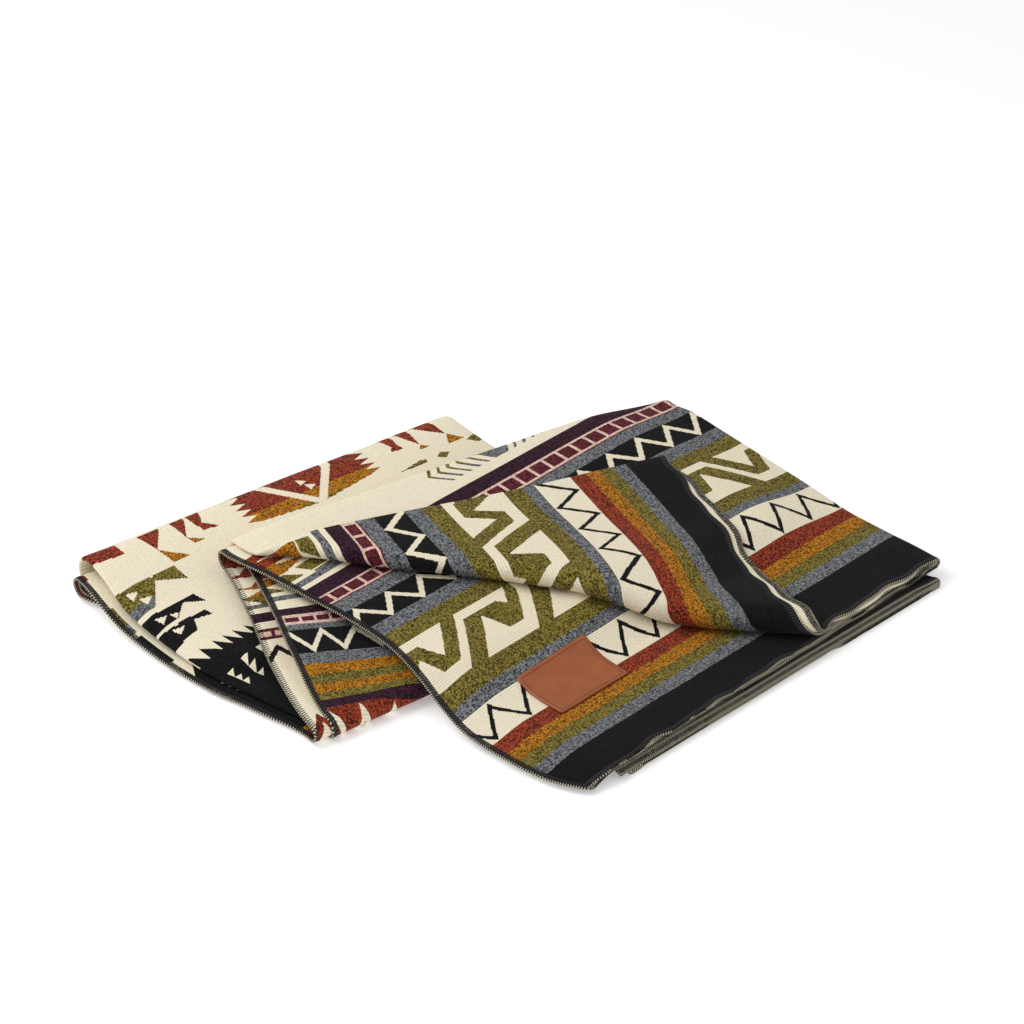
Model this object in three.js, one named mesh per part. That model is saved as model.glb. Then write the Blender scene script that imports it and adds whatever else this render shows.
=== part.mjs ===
// A woven wool blanket, folded lengthwise into four layers and then back and forth in four legs, with one
// front corner of its two top layers turned back, and a small leather patch sewn near the front end.
// Millimetres, +Z up. The woven stripes run along X and the length of the folded strip runs along Y.
import * as THREE from 'three'

// The cloth and how closely its layers lie
const CLOTH = 1.6
const PITCH = 2.3
const HALF = CLOTH / 2
const WIDE = 440 // width of the folded strip, about a quarter of the cut width
const LONG = 1405 // cut length of the cloth, from one end edge to the other

// The leather patch on the front layer: its size, and its middle in strip coordinates
const PATCH = { wide: 76, long: 52, thick: 1.4, gap: 0.45, across: 104, along: 104.5, corner: 2, cuts: 12 }

// The dog-ear: the line it folds along, from the left border to the end edge, and its roll
const EAR = { along: 408, across: 290, rollStart: 3, rollEnd: 11, settle: 110, rest: 1.6 }

// Where the borders of each layer lie inside the strip, and how far its end edge stands out
const RECESS = { s3: 0, s4: 4, top: 14 }
const STICK_OUT = { s4: -5, l1: 4, l2: -5 }

// Stations along the strip. s is the length along the cloth, x, y and z the place of the border, and
// middle the height between the borders. hold and ramp say how far in from the left border its own height
// reaches. lift raises the two top layers, drape draws the fourth layer away at the left border. A turn is
// the radius of a half-turn fold about that place, outwards to the back for +1 and to the front for -1.
const STATIONS = [
  { s: [0, 0], left: [-140, -249, 6], right: [288, -229, 13.6], middle: 13.6, ramp: 30, lift: 0.8 },
  { s: [30, 30], left: [-154, -222, 5.8], right: [288, -200, 13.6], middle: 13.6, ramp: 36, lift: 0.8 },
  { s: [70, 55], left: [-163, -182, 7], right: [287, -175, 13.6], middle: 13.6, ramp: 40, lift: 0.8 },
  { s: [120, 75], left: [-167, -131, 9], right: [286, -155, 13.8], middle: 14.5, ramp: 40, lift: 0.8 },
  { s: [150, 98], left: [-164, -98, 15.5], right: [284, -132, 14.5], middle: 24, ramp: 40, lift: 0.8 },
  { s: [182, 120], left: [-163, -70, 28], right: [282, -111, 17], middle: 33.8, ramp: 40, lift: 0.8 },
  { s: [215, 150], left: [-161, -38, 35], right: [279, -82, 22], middle: 36.5, lift: 0.8 },
  { s: [265, 200], left: [-167, 8, 42.5], right: [272, -32, 31], middle: 42, lift: 0.8 },
  { s: [315, 245], left: [-177, 55, 47.5], right: [266, 12, 39], middle: 47, lift: 0.8 },
  { s: [365, 283], left: [-186, 105, 50], right: [261, 48, 45], middle: 53.5, lift: 0.8 },
  { s: [425, 323], left: [-194, 150, 42], right: [257, 72, 37], middle: 46.5, turn: 9, side: 1, lift: 0.8 },
  { s: [500, 400], left: [-215, 88, 28], right: [218, 10, 27], middle: 29.5, drape: 8 },
  { s: [570, 468], left: [-241, 22, 20], right: [178, -45, 25.4], middle: 26.2, hold: 80, ramp: 60, drape: 12 },
  { s: [650, 550], left: [-262, -53, 10.35], right: [140, -92, 18.8], middle: 18.8, hold: 118, ramp: 40,
    turn: 5.35, side: -1 },
  { s: [712, 624], left: [-272, 8, 5], right: [135, -30, 13.45], middle: 13.45, hold: 90, ramp: 60, lift: 0.6 },
  { s: [764, 694], left: [-284, 60, 5.2], right: [128, 30, 13.45], middle: 13.45, hold: 15, ramp: 30, lift: 1.5 },
  { s: [850, 805], left: [-291, 162, 9], right: [112, 120, 16], middle: 16, ramp: 30, lift: 6 },
  { s: [922, 917], left: [-287, 232, 13.75], right: [103, 197, 13.75], middle: 13.75, lift: 11.5, turn: 9.5, side: 1 },
  { s: [990, 1000], left: [-244, 162, 4.25], right: [132, 126, 4.25], middle: 4.25 },
  { s: [1107, 1110], left: [-148, 62, 4.25], right: [175, 24, 4.25], middle: 4.25 },
  { s: [1245, 1236], left: [-86, -58, 4.25], right: [226, -92, 4.25], middle: 4.25 },
  { s: [LONG, LONG], left: [-108, -252, 4.25], right: [280, -240, 4.25], middle: 4.25 },
]
const TURN_STEPS = 5
const ROLL_STEPS = 8
const RAMP = 60
const RAMP_RIGHT = 90
const DRAPE_REACH = 150

const lerp = (a, b, t) => a + (b - a) * t
const smooth = (t) => {
  const c = Math.min(1, Math.max(0, t))
  return c * c * (3 - 2 * c)
}

// Each half-turn fold becomes a row of stations round its arc
function expandStations(rows) {
  const stations = []
  for (const row of rows) {
    const base = { hold: 0, ramp: RAMP, lift: 0, drape: 0, ...row }
    if (!row.turn) {
      stations.push(base)
      continue
    }
    const out = new THREE.Vector2(-(row.right[1] - row.left[1]), row.right[0] - row.left[0]).normalize()
    out.multiplyScalar(row.side)
    for (let k = 0; k <= TURN_STEPS; k++) {
      const angle = (Math.PI * k) / TURN_STEPS
      const reach = row.turn * Math.sin(angle)
      const rise = row.turn * Math.cos(angle)
      const along = row.turn * (angle - Math.PI / 2)
      const move = (p) => [p[0] + out.x * reach, p[1] + out.y * reach, p[2] + rise]
      stations.push({
        ...base,
        s: [row.s[0] + along, row.s[1] + along],
        left: move(row.left),
        right: move(row.right),
        middle: row.middle + rise,
        lift: row.side > 0 ? (base.lift * (1 + Math.cos(angle))) / 2 : base.lift,
      })
    }
  }
  return stations
}
const stations = expandStations(STATIONS)

// The middle surface of the four layers at one station, a distance across from the left border
function stationPoint(st, across) {
  const t = across / WIDE
  const fromLeft = 1 - smooth((across - st.hold) / st.ramp)
  const fromRight = 1 - smooth((WIDE - across) / RAMP_RIGHT)
  const z = st.middle + (st.left[2] - st.middle) * fromLeft + (st.right[2] - st.middle) * fromRight
  return new THREE.Vector3(lerp(st.left[0], st.right[0], t), lerp(st.left[1], st.right[1], t), z)
}

// The stretch between two stations that a point of the cloth lies in, and how far along it
function findStretch(across, s) {
  const at = (i) => lerp(stations[i].s[0], stations[i].s[1], across / WIDE)
  let i = 0
  while (i < stations.length - 2 && at(i + 1) < s) i++
  return { i, t: (s - at(i)) / (at(i + 1) - at(i)) }
}

function stationNormal(i, across) {
  const last = stations.length - 1
  const before = stationPoint(stations[Math.max(0, i - 1)], across)
  const after = stationPoint(stations[Math.min(last, i + 1)], across)
  const wider = stationPoint(stations[i], across + 2).sub(stationPoint(stations[i], across - 2))
  return wider.cross(after.sub(before)).normalize()
}

// A point of the strip: across and along it, how far off its middle surface, and how far out beyond a border
function stripPoint(across, s, offset, bulge, layer) {
  const { i, t } = findStretch(across, s)
  const a = stations[i]
  const b = stations[i + 1]
  const [near, far] = [stationPoint(a, across), stationPoint(b, across)]
  const normal = stationNormal(i, across).lerp(stationNormal(i + 1, across), t).normalize()
  const outwards = far.clone().sub(near).cross(normal).normalize()
  const point = near.lerp(far, t).addScaledVector(outwards, bulge)
  const lift = lerp(a.lift, b.lift, t) * layer.top
  const drape = lerp(a.drape, b.drape, t) * layer.bottom * (1 - smooth(across / DRAPE_REACH))
  return point.addScaledVector(normal, offset + lift - drape)
}

// The section across the four layers, from the selvedge of the fourth layer to that of the third
const MID = WIDE - 1.5 * PITCH
const SECTION = [
  { name: 's4', from: RECESS.s4, to: MID, offset: -1.5 },
  { name: 'outer turn', centre: MID, radius: 1.5, from: -1.5, to: 1.5, side: 1, cuts: 4 },
  { name: 'l1', from: MID, to: RECESS.top, offset: 1.5 },
  { name: 'left turn', centre: RECESS.top, radius: 0.5, from: 1.5, to: 0.5, side: -1, cuts: 3 },
  { name: 'l2', from: RECESS.top, to: MID, offset: 0.5 },
  { name: 'inner turn', centre: MID, radius: 0.5, from: 0.5, to: -0.5, side: 1, cuts: 3 },
  { name: 's3', from: MID, to: RECESS.s3, offset: -0.5 },
]
// Where every layer is cut into cells across, so that they all bend alike
const CUTS_ACROSS = [14, 34, 75, 118, 160, 240, 310, 360, 400]

// One column of the section: where it lies across, its offset, and how much it belongs to the top layers
// or to the fourth one
function buildColumns() {
  const columns = []
  SECTION.forEach((part, index) => {
    const [low, high] = [Math.min(part.from, part.to), Math.max(part.from, part.to)]
    const inner = CUTS_ACROSS.filter((c) => c > low && c < high)
    const places = [part.from, ...(part.to > part.from ? inner : inner.reverse()), part.to]
    const steps = part.radius ? part.cuts : places.length - 1
    for (let k = index ? 1 : 0; k <= steps; k++) {
      const t = k / steps
      let across = places[k]
      let offset = part.offset * PITCH
      let bulge = 0
      if (part.radius) {
        across = part.centre
        bulge = part.side * part.radius * PITCH * Math.sin(Math.PI * t)
        offset = lerp(part.from, part.to, (1 - Math.cos(Math.PI * t)) / 2) * PITCH
      }
      const level = offset / PITCH
      columns.push({
        name: part.name,
        across,
        offset,
        bulge,
        top: smooth((level + 0.5) / 1),
        bottom: 1 - smooth((level + 1.5) / 1),
        ear: index >= 2 && index <= 4 && !(index === 2 && k === 0),
        out: stickOut(part.name, across, t),
      })
    }
  })
  return columns
}

// How far each layer's end edge stands out, easing to nothing at its own folds
function stickOut(name, across, t) {
  const nearRight = smooth((MID - across) / 40)
  const nearLeft = smooth((across - RECESS.top) / 60)
  if (name === 's4') return STICK_OUT.s4 * lerp(0.5, 1, nearRight)
  if (name === 'l1') return STICK_OUT.l1 * Math.min(nearRight, nearLeft)
  if (name === 'l2') return STICK_OUT.l2 * Math.min(nearRight, nearLeft)
  if (name === 'outer turn') return STICK_OUT.s4 * 0.5 * (1 - t)
  return 0
}
const columns = buildColumns()

// The dog-ear: how far a point lies past the fold line, and where the fold takes it
const earLine = new THREE.Vector2(EAR.across, -EAR.along)
const earLength = earLine.length()
earLine.normalize()
const earSide = new THREE.Vector2(earLine.y, -earLine.x)
function pastEarLine(across, s) {
  return (across - EAR.across) * earSide.x + s * earSide.y
}
const alongEarLine = (across, s) => across * earLine.x + (s - EAR.along) * earLine.y
const rollRadius = (along) => lerp(EAR.rollStart, EAR.rollEnd, along / earLength)
function foldEar(across, s, offset) {
  const past = pastEarLine(across, s)
  const along = alongEarLine(across, s)
  const radius = rollRadius(along)
  const axis = 1.5 * PITCH + radius
  const arm = axis - offset
  const turned = Math.min(Math.PI, past / (radius + 0.5 * PITCH))
  const beyond = Math.max(0, past - Math.PI * (radius + 0.5 * PITCH))
  const reach = arm * Math.sin(turned) - beyond
  const settled = smooth(beyond / EAR.settle) * (2 * radius - PITCH - EAR.rest)
  return {
    across: earLine.x * along + earSide.x * reach,
    s: EAR.along + earLine.y * along + earSide.y * reach,
    offset: axis - arm * Math.cos(turned) - settled,
  }
}

function clothPoint(v) {
  if (v.ear && v.s < EAR.along && pastEarLine(v.across + v.bulge, v.s) > 0) {
    const place = foldEar(v.across + v.bulge, v.s, v.offset)
    return stripPoint(place.across, place.s, place.offset, 0, v)
  }
  return stripPoint(v.across, v.s, v.offset, v.bulge, v)
}

// The cloth as cells of its section and its stations, with the cells at the dog-ear cut along its roll
const cells = []
const grid = []
stations.forEach((st, row) => {
  columns.forEach((col) => {
    const straight = lerp(st.s[0], st.s[1], col.across / WIDE)
    const atEnd = row === 0 || row === stations.length - 1
    grid.push({ ...col, s: straight + (atEnd ? col.out : 0) })
  })
})
for (let row = 0; row < stations.length - 1; row++) {
  for (let k = 0; k < columns.length - 1; k++) {
    const a = row * columns.length + k
    const ear = grid[a].ear && grid[a + 1].ear && stations[row + 1].s[0] < EAR.along + 20
    cells.push({ corners: [a, a + 1, a + 1 + columns.length, a + columns.length], ear })
  }
}

// A cut passes through a corner that lies within this distance of it
const SNAP = 0.9

// How far a point lies past a line some way round the roll
function pastRoll({ across, s }, angle) {
  return pastEarLine(across, s) - angle * (rollRadius(alongEarLine(across, s)) + 0.5 * PITCH)
}

// Cuts those cells along a straight line of the cloth, where the given measure past it is nought
function cutCells(pastCut, fits = () => true) {
  const made = new Map()
  const crossing = (i, j) => {
    const key = Math.min(i, j) + ' ' + Math.max(i, j)
    if (!made.has(key)) {
      const [p, q] = [grid[Math.min(i, j)], grid[Math.max(i, j)]]
      const [dp, dq] = [pastCut(p), pastCut(q)]
      const t = dp / (dp - dq)
      const between = { ear: true }
      for (const name of ['across', 'offset', 'bulge', 'top', 'bottom', 's']) between[name] = lerp(p[name], q[name], t)
      made.set(key, grid.push(between) - 1)
    }
    return made.get(key)
  }
  for (const cell of [...cells]) {
    if (!cell.ear || !cell.corners.every((i) => fits(grid[i]))) continue
    const past = cell.corners.map((i) => pastCut(grid[i]))
    if (past.every((d) => d >= -SNAP) || past.every((d) => d <= SNAP)) continue
    const near = []
    const far = []
    cell.corners.forEach((i, n) => {
      const m = (n + 1) % cell.corners.length
      if (past[n] <= SNAP) near.push(i)
      if (past[n] >= -SNAP) far.push(i)
      if (Math.abs(past[n]) > SNAP && Math.abs(past[m]) > SNAP && past[n] * past[m] < 0) {
        const c = crossing(i, cell.corners[m])
        near.push(c)
        far.push(c)
      }
    })
    cell.corners = near
    cells.push({ corners: far, ear: true })
  }
}
for (let k = 0; k <= ROLL_STEPS; k++) cutCells((v) => pastRoll(v, (Math.PI * k) / ROLL_STEPS))
for (const beyond of [16, 50]) cutCells((v) => pastRoll(v, Math.PI) - beyond)
// The turned-back part is cut again where it comes to lie on a bend of the cloth under it
for (const row of [4, 5, 7]) {
  const pastBend = (v) => {
    const place = foldEar(v.across, v.s, PITCH)
    return place.s - lerp(stations[row].s[0], stations[row].s[1], place.across / WIDE)
  }
  cutCells(pastBend, (v) => pastRoll(v, 0) > -2 * SNAP)
}

// The sheet: both faces of the cloth half its thickness off its middle, closed round its edges
const middle = grid.map(clothPoint)
const order = (i) => grid[i].s + 0.4 * grid[i].across
const faces = cells.flatMap(({ corners }) => {
  const first = corners.reduce((best, i, n) => (order(i) < order(corners[best]) ? n : best), 0)
  const turned = [...corners.slice(first), ...corners.slice(0, first)]
  const fan = []
  for (let n = 1; n < turned.length - 1; n++) fan.push([turned[0], turned[n], turned[n + 1]])
  return fan
})
const normals = middle.map(() => new THREE.Vector3())
for (const [a, b, c] of faces) {
  const area = middle[b].clone().sub(middle[a]).cross(middle[c].clone().sub(middle[a]))
  for (const i of [a, b, c]) normals[i].add(area)
}
normals.forEach((n) => n.normalize())

// A closed sheet from its middle points, their normals and its faces
function sheetGeometry(points, directions, triangles, half) {
  const edge = new Map()
  for (const [a, b, c] of triangles) {
    for (const [i, j] of [[a, b], [b, c], [c, a]]) {
      if (edge.has(j + ' ' + i)) edge.delete(j + ' ' + i)
      else edge.set(i + ' ' + j, [i, j])
    }
  }
  const count = points.length
  const positions = []
  for (const side of [half, -half]) {
    points.forEach((p, i) => positions.push(...p.clone().addScaledVector(directions[i], side).toArray()))
  }
  const index = triangles.flatMap(([a, b, c]) => [a, b, c, a + count, c + count, b + count])
  for (const [i, j] of edge.values()) index.push(j, i, i + count, j, i + count, j + count)
  const geometry = new THREE.BufferGeometry()
  geometry.setAttribute('position', new THREE.Float32BufferAttribute(positions, 3))
  geometry.setIndex(index)
  return geometry
}

// A place on the flat cells of the third layer: its point and its direction outwards
function onThirdLayer(across, s) {
  const row = findStretch(across, s).i
  let k = columns.findIndex((c) => c.name === 's3') - 1
  while (columns[k + 1].across > across) k++
  const u = (across - columns[k + 1].across) / (columns[k].across - columns[k + 1].across)
  const lineAt = (i) => lerp(stations[i].s[0], stations[i].s[1], across / WIDE)
  const t = (s - lineAt(row)) / (lineAt(row + 1) - lineAt(row))
  const corner = (i, c) => i * columns.length + c
  const low = corner(row, k + 1)
  const far = corner(row + 1, k)
  const side = u > t ? corner(row, k) : corner(row + 1, k + 1)
  const share = [1 - Math.max(u, t), Math.abs(u - t), Math.min(u, t)]
  const blend = (list) => {
    const sum = new THREE.Vector3()
    for (const [n, i] of [low, side, far].entries()) sum.addScaledVector(list[i], share[n])
    return sum
  }
  return { point: blend(middle), out: blend(normals).negate().normalize() }
}

// The patch: a thin tile with rounded corners that follows the face of the third layer a little above it
function buildPatch() {
  const { wide, long, thick, gap, across, along, corner } = PATCH
  const inset = (d) => (d < corner ? corner - Math.sqrt(corner * corner - (corner - d) ** 2) : 0)
  const rows = [0, 0.3, 1, corner]
  for (let y = corner + 6; y < long - corner - 3; y += 6) rows.push(y)
  rows.push(...[corner, 1, 0.3, 0].map((d) => long - d))
  const points = []
  const out = []
  for (const y of rows) {
    const cut = inset(Math.min(y, long - y))
    for (let k = 0; k <= PATCH.cuts; k++) {
      const x = lerp(cut, wide - cut, k / PATCH.cuts) - wide / 2
      const spot = onThirdLayer(across + x, along + y - long / 2)
      points.push(spot.point.addScaledVector(spot.out, HALF + gap + thick / 2))
      out.push(spot.out)
    }
  }
  const triangles = []
  for (let row = 0; row < rows.length - 1; row++) {
    for (let k = 0; k < PATCH.cuts; k++) {
      const a = row * (PATCH.cuts + 1) + k
      const b = a + PATCH.cuts + 1
      triangles.push([a, a + 1, b + 1], [a, b + 1, b])
    }
  }
  return sheetGeometry(points, out, triangles, thick / 2)
}

function named(name, geometry, colour, roughness) {
  geometry.computeVertexNormals()
  const material = new THREE.MeshStandardMaterial({ color: colour, roughness, metalness: 0 })
  const mesh = new THREE.Mesh(geometry, material)
  mesh.name = name
  return mesh
}

const blanket = new THREE.Group()
blanket.add(named('blanket', sheetGeometry(middle, normals, faces, HALF), 0xd8c9a0, 0.95))
blanket.add(named('leather_patch', buildPatch(), 0x8a4a2c, 0.6))

// The origin lies under the middle of the whole, on the surface it rests on
const box = new THREE.Box3().setFromObject(blanket)
const origin = box.getCenter(new THREE.Vector3())
for (const mesh of blanket.children) mesh.geometry.translate(-origin.x, -origin.y, -box.min.z)
export default blanket
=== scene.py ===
import math

import bmesh
import bpy
import numpy as np
from mathutils import Matrix, Vector


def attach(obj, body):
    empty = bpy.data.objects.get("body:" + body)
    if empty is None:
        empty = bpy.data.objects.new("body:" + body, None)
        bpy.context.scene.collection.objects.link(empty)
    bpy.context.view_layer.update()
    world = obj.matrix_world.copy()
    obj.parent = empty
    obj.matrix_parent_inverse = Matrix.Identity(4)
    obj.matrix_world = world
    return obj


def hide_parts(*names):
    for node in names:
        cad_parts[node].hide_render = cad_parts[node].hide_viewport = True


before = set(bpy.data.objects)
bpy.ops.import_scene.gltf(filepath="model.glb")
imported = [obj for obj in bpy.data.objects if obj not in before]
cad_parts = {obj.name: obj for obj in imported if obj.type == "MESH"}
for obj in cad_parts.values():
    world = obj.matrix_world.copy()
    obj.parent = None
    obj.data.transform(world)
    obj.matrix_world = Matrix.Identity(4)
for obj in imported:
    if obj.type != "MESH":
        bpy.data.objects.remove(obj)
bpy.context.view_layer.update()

# The camera stands in front of the blanket, low and to its left, with a long lens.
MM = 0.001
VIEW = Vector((0.5493, 0.6209, -0.5592))
VIEW_RIGHT = Vector((0.7490, -0.6626, 0.0))
view_down = VIEW.cross(VIEW_RIGHT)
lens = bpy.data.cameras.new("camera")
lens.lens = 112.5
lens.sensor_width = 36
camera = bpy.data.objects.new("camera", lens)
turn = Matrix((VIEW_RIGHT, -view_down, -VIEW)).transposed().to_4x4()
camera.matrix_world = Matrix.Translation((-1.4829, -1.6757, 1.5915)) @ turn
bpy.context.scene.collection.objects.link(camera)
bpy.context.scene.camera = camera

# The blanket: one double-woven wool cloth, folded lengthwise into four layers and then back and forth in
# four legs, with the front corner of its two top layers turned back. Its front and its reverse show the same
# pattern with the two yarns of each stripe changed over. Sizes are millimetres.
CLOTH = 1.6
PITCH = 2.3
WIDE = 440
LONG = 1405
CENTRE = (1.1067, 1.7415)
LEFT_FOLD = 14
S4_BORDER = 4
MID = WIDE - 1.5 * PITCH

# Stations along the folded strip: cloth length at its left and right border, both borders' places, the
# height between them, how far in the left border's height holds and how soon it fades, the lift of the two
# top layers, the drape of the fourth one, and the radius of a fold, to the back when positive.
STATIONS = [
    ((0, 0), (-140, -249, 6), (288, -229, 13.6), 13.6, 0, 30, 0.8, 0, 0),
    ((30, 30), (-154, -222, 5.8), (288, -200, 13.6), 13.6, 0, 36, 0.8, 0, 0),
    ((70, 55), (-163, -182, 7), (287, -175, 13.6), 13.6, 0, 40, 0.8, 0, 0),
    ((120, 75), (-167, -131, 9), (286, -155, 13.8), 14.5, 0, 40, 0.8, 0, 0),
    ((150, 98), (-164, -98, 15.5), (284, -132, 14.5), 24, 0, 40, 0.8, 0, 0),
    ((182, 120), (-163, -70, 28), (282, -111, 17), 33.8, 0, 40, 0.8, 0, 0),
    ((215, 150), (-161, -38, 35), (279, -82, 22), 36.5, 0, 60, 0.8, 0, 0),
    ((265, 200), (-167, 8, 42.5), (272, -32, 31), 42, 0, 60, 0.8, 0, 0),
    ((315, 245), (-177, 55, 47.5), (266, 12, 39), 47, 0, 60, 0.8, 0, 0),
    ((365, 283), (-186, 105, 50), (261, 48, 45), 53.5, 0, 60, 0.8, 0, 0),
    ((425, 323), (-194, 150, 42), (257, 72, 37), 46.5, 0, 60, 0.8, 0, 9),
    ((500, 400), (-215, 88, 28), (218, 10, 27), 29.5, 0, 60, 0, 8, 0),
    ((570, 468), (-241, 22, 20), (178, -45, 25.4), 26.2, 80, 60, 0, 12, 0),
    ((650, 550), (-262, -53, 10.35), (140, -92, 18.8), 18.8, 118, 40, 0, 0, -5.35),
    ((712, 624), (-272, 8, 5), (135, -30, 13.45), 13.45, 90, 60, 0.6, 0, 0),
    ((764, 694), (-284, 60, 5.2), (128, 30, 13.45), 13.45, 15, 30, 1.5, 0, 0),
    ((850, 805), (-291, 162, 9), (112, 120, 16), 16, 0, 30, 6, 0, 0),
    ((922, 917), (-287, 232, 13.75), (103, 197, 13.75), 13.75, 0, 60, 11.5, 0, 9.5),
    ((990, 1000), (-244, 162, 4.25), (132, 126, 4.25), 4.25, 0, 60, 0, 0, 0),
    ((1107, 1110), (-148, 62, 4.25), (175, 24, 4.25), 4.25, 0, 60, 0, 0, 0),
    ((1245, 1236), (-86, -58, 4.25), (226, -92, 4.25), 4.25, 0, 60, 0, 0, 0),
    ((LONG, LONG), (-108, -252, 4.25), (280, -240, 4.25), 4.25, 0, 60, 0, 0, 0),
]
TURN_STEPS = 12
RIGHT_FADE = 90
DRAPE_REACH = 150


def smooth(t):
    c = np.clip(t, 0, 1)
    return c * c * (3 - 2 * c)


def expand_stations(rows):
    table = []
    for s, left, right, middle, hold, ramp, lift, drape, turn in rows:
        out = np.array([-(right[1] - left[1]), right[0] - left[0]], float)
        out *= math.copysign(1, turn) / np.hypot(*out)
        angles = np.linspace(0, math.pi, TURN_STEPS + 1) if turn else [math.pi / 2]
        for angle in angles:
            reach = abs(turn) * math.sin(angle) if turn else 0
            rise = abs(turn) * math.cos(angle) if turn else 0
            along = abs(turn) * (angle - math.pi / 2)
            up = lift * (1 + math.cos(angle)) / 2 if turn > 0 else lift
            x, y = out * reach
            table.append([s[0] + along, s[1] + along, left[0] + x, left[1] + y, left[2] + rise,
                          right[0] + x, right[1] + y, right[2] + rise, middle + rise,
                          hold, ramp, up, drape])
    return np.array(table, float)


# Between its stations the strip follows smooth curves that don't swing past them
def smooth_table(table):
    mean = table[:, :2].mean(1)
    step = np.diff(mean)
    rate = np.diff(table, axis=0) / step[:, None]
    weight = (step[1:] / (step[1:] + step[:-1]))[:, None]
    slope = np.vstack([rate[:1], rate[:-1] * weight + rate[1:] * (1 - weight), rate[-1:]])
    limit = 3 * np.minimum(np.abs(np.vstack([rate[:1], rate])), np.abs(np.vstack([rate, rate[-1:]])))
    same = np.vstack([rate[:1], rate]) * np.vstack([rate, rate[-1:]]) > 0
    heights = [4, 7, 8, 9, 10, 11, 12]
    for k in heights:
        slope[:, k] = np.where(same[:, k], np.clip(slope[:, k], -limit[:, k], limit[:, k]), 0)
    dense = np.arange(mean[0], mean[-1] + 0.25, 0.5)
    i = np.clip(np.searchsorted(mean, dense, side="right") - 1, 0, len(mean) - 2)
    t = ((dense - mean[i]) / step[i])[:, None]
    h = step[i][:, None]
    values = (table[i] * (1 + 2 * t) * (1 - t) ** 2 + slope[i] * h * t * (1 - t) ** 2
              + table[i + 1] * t * t * (3 - 2 * t) + slope[i + 1] * h * t * t * (t - 1))
    return dense, values


rows_at, rows = smooth_table(expand_stations(STATIONS))


def row_value(k, m):
    return np.interp(m, rows_at, rows[:, k])


# The row that a place of the cloth lies in, from how far across and along the strip it is
def find_row(across, s):
    m = s.copy()
    share = across / WIDE
    for _ in range(30):
        here = row_value(0, m) * (1 - share) + row_value(1, m) * share
        m = np.clip(m + 0.9 * (s - here), rows_at[0], rows_at[-1])
    return m


def middle_point(across, m):
    share = across / WIDE
    between = row_value(8, m)
    from_left = 1 - smooth((across - row_value(9, m)) / row_value(10, m))
    from_right = 1 - smooth((WIDE - across) / RIGHT_FADE)
    x = row_value(2, m) * (1 - share) + row_value(5, m) * share
    y = row_value(3, m) * (1 - share) + row_value(6, m) * share
    z = between + (row_value(4, m) - between) * from_left + (row_value(7, m) - between) * from_right
    return np.stack([x, y, z], 1)


def unit(v):
    return v / np.maximum(np.linalg.norm(v, axis=1), 1e-9)[:, None]


# Small unevenness that all layers share: waves along the front edges and soft rises elsewhere
def unevenness(across, s):
    edge = 1 - smooth(s / 70)
    waves = 1 + 0.6 * np.sin(across / 9.6 + 0.7) + 0.4 * np.sin(across / 17.3 + 2.1)
    soft = 0.35 * np.sin(across / 31 + s / 57) * np.sin(s / 43 - across / 77)
    return 0.9 * edge * waves + soft


def strip_point(across, s, offset, bulge, top, bottom):
    m = find_row(across, s)
    point = middle_point(across, m)
    wider = middle_point(across + 2, m) - middle_point(across - 2, m)
    ahead, behind = np.minimum(m + 1.5, rows_at[-1]), np.maximum(m - 1.5, 0)
    further = middle_point(across, ahead) - middle_point(across, behind)
    normal = unit(np.cross(wider, further))
    outwards = unit(np.cross(further, normal))
    raised = row_value(11, m) * top - row_value(12, m) * bottom * (1 - smooth(across / DRAPE_REACH))
    raised = raised + unevenness(across, s)
    return point + outwards * bulge[:, None] + normal * (offset + raised)[:, None]


# The section across the four layers, laid flat from the selvedge of the fourth to that of the third
SECTION = [
    ("s4", S4_BORDER, MID, -1.5, -1.5, 0),
    ("outer", MID, MID, -1.5, 1.5, 1.5),
    ("l1", MID, LEFT_FOLD, 1.5, 1.5, 0),
    ("left", LEFT_FOLD, LEFT_FOLD, 1.5, 0.5, -0.5),
    ("l2", LEFT_FOLD, MID, 0.5, 0.5, 0),
    ("inner", MID, MID, 0.5, -0.5, 0.5),
    ("s3", MID, 0, -0.5, -0.5, 0),
]
starts = [0.0]
for part in SECTION:
    starts.append(starts[-1] + (math.pi * abs(part[5]) * PITCH if part[5] else abs(part[2] - part[1])))
CUT_WIDTH = starts[-1]


# Where a place of the flat cloth lies in the section
def section_place(u):
    across, offset, bulge = np.zeros_like(u), np.zeros_like(u), np.zeros_like(u)
    ear = np.zeros(u.shape, bool)
    for k, (name, a, b, low, high, radius) in enumerate(SECTION):
        inside = (u >= starts[k]) & (u <= starts[k + 1])
        t = (u[inside] - starts[k]) / (starts[k + 1] - starts[k])
        across[inside] = a + (b - a) * t
        offset[inside] = (low + (high - low) * (1 - np.cos(math.pi * t)) / 2) * PITCH
        bulge[inside] = radius * PITCH * np.sin(math.pi * t)
        ear[inside] = name in ("l1", "left", "l2")
    return across, offset, bulge, ear


# The dog-ear: the line it folds along, and its roll, which widens towards the front edge
EAR_ALONG, EAR_ACROSS = 408, 290
ROLL = (3, 11)
SETTLE_REACH = 110
ear_length = math.hypot(EAR_ALONG, EAR_ACROSS)
line_x, line_s = EAR_ACROSS / ear_length, -EAR_ALONG / ear_length
side_x, side_s = line_s, -line_x


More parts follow.
